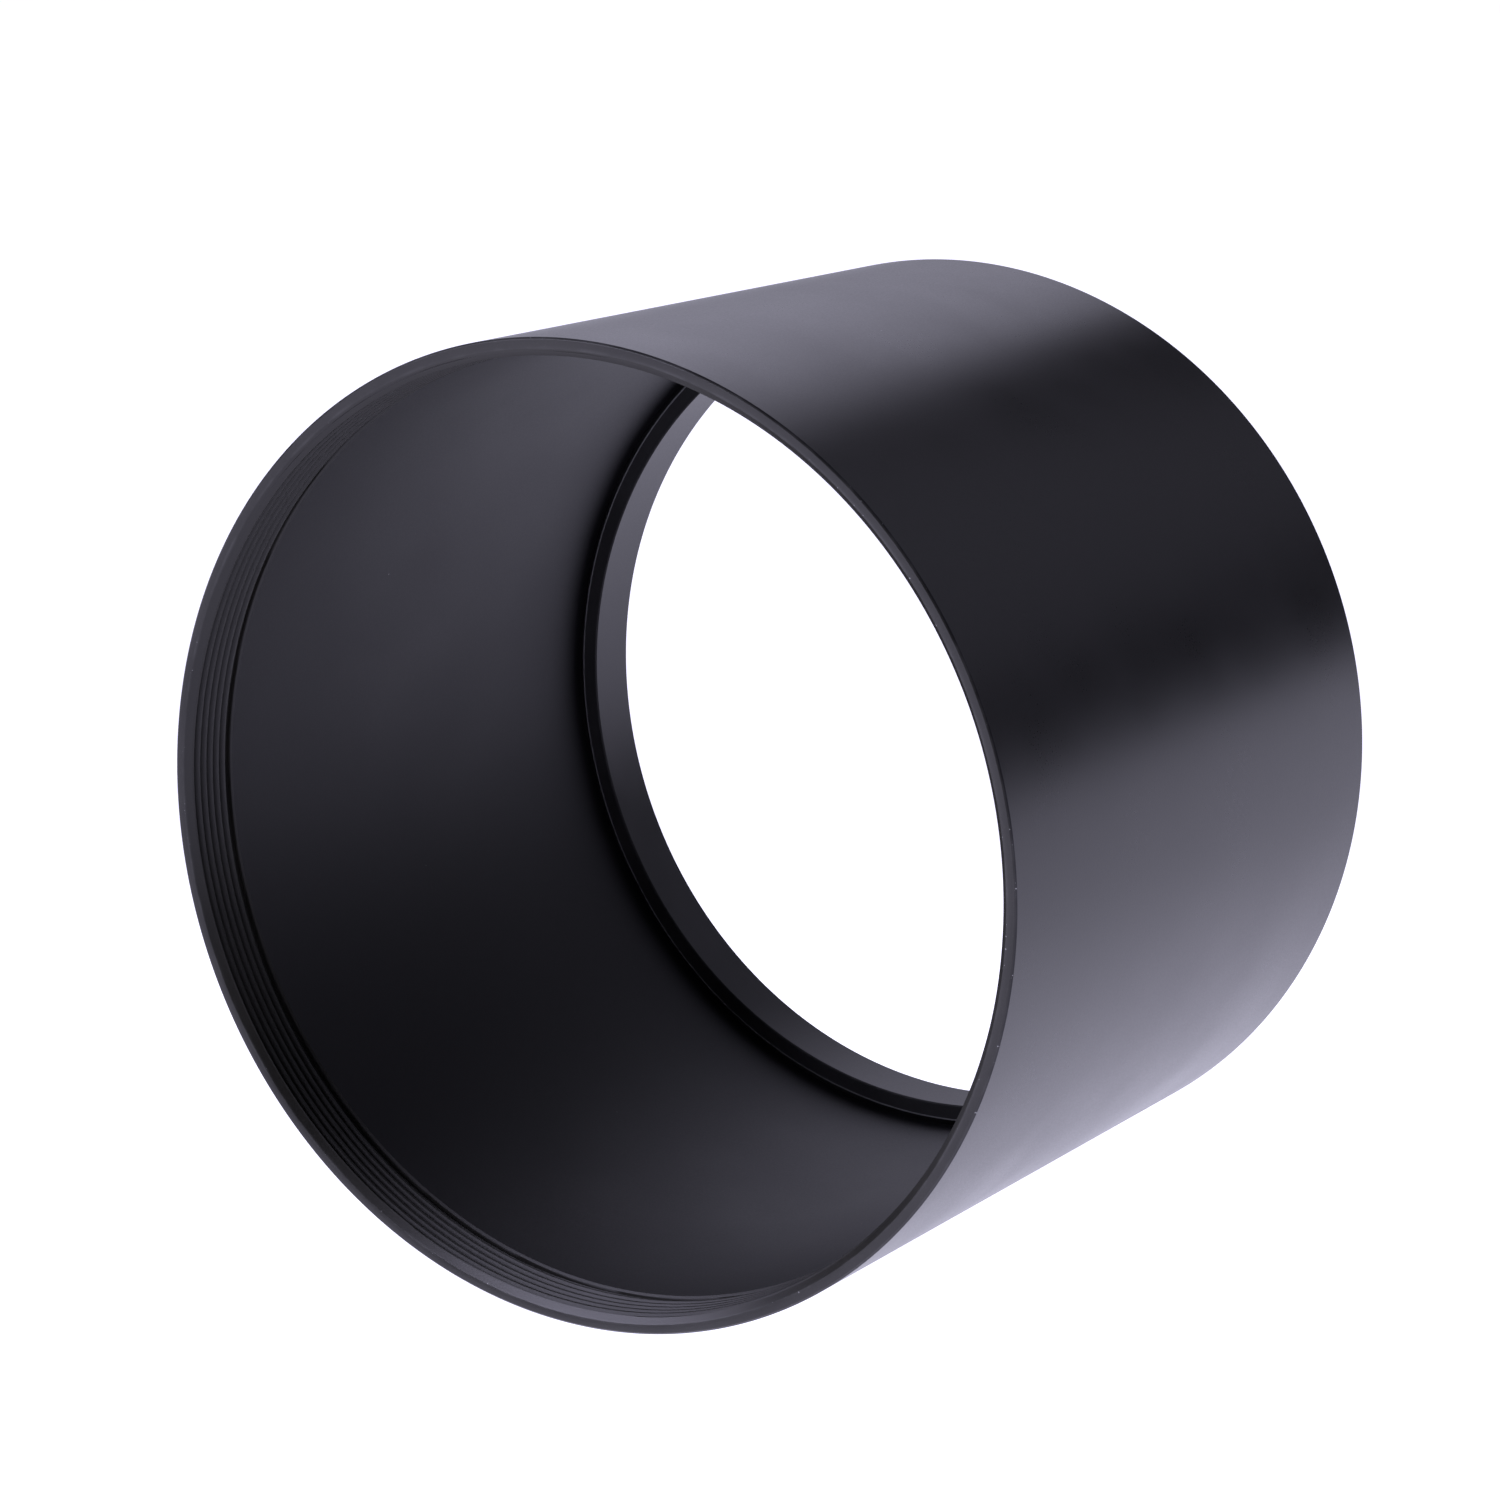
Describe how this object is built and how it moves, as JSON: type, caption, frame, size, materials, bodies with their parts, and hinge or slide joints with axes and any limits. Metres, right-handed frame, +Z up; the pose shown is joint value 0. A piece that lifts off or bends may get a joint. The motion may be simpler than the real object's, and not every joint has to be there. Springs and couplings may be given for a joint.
{
  "type": "screw-in lens hood",
  "caption": "Long cylindrical screw-in lens hood of satin black metal, with a female filter thread in its front rim and a threaded mount ring screwed into its rear.",
  "frame": {"origin": "on the optical axis, in the plane of the barrel's rear face, which seats on the lens", "axes": "+Y along the optical axis towards the lens, so the front opening faces -Y; +Z up"},
  "size_m": [0.074, 0.0585, 0.074],
  "materials": {
    "barrel_anodised": "bead-blasted satin black anodised aluminium with a faint violet cast",
    "ring_anodised": "fine-turned satin black anodised aluminium"
  },
  "bodies": {
    "barrel": {"hood_barrel": "barrel_anodised"},
    "mount_ring": {"mount_ring": "ring_anodised"}
  },
  "joints": [
    {"name": "mount_ring_unscrew", "type": "slide", "parent": "barrel", "child": "mount_ring", "axis": [0, 1, 0], "range_m": [0, 0.0029]}
  ]
}
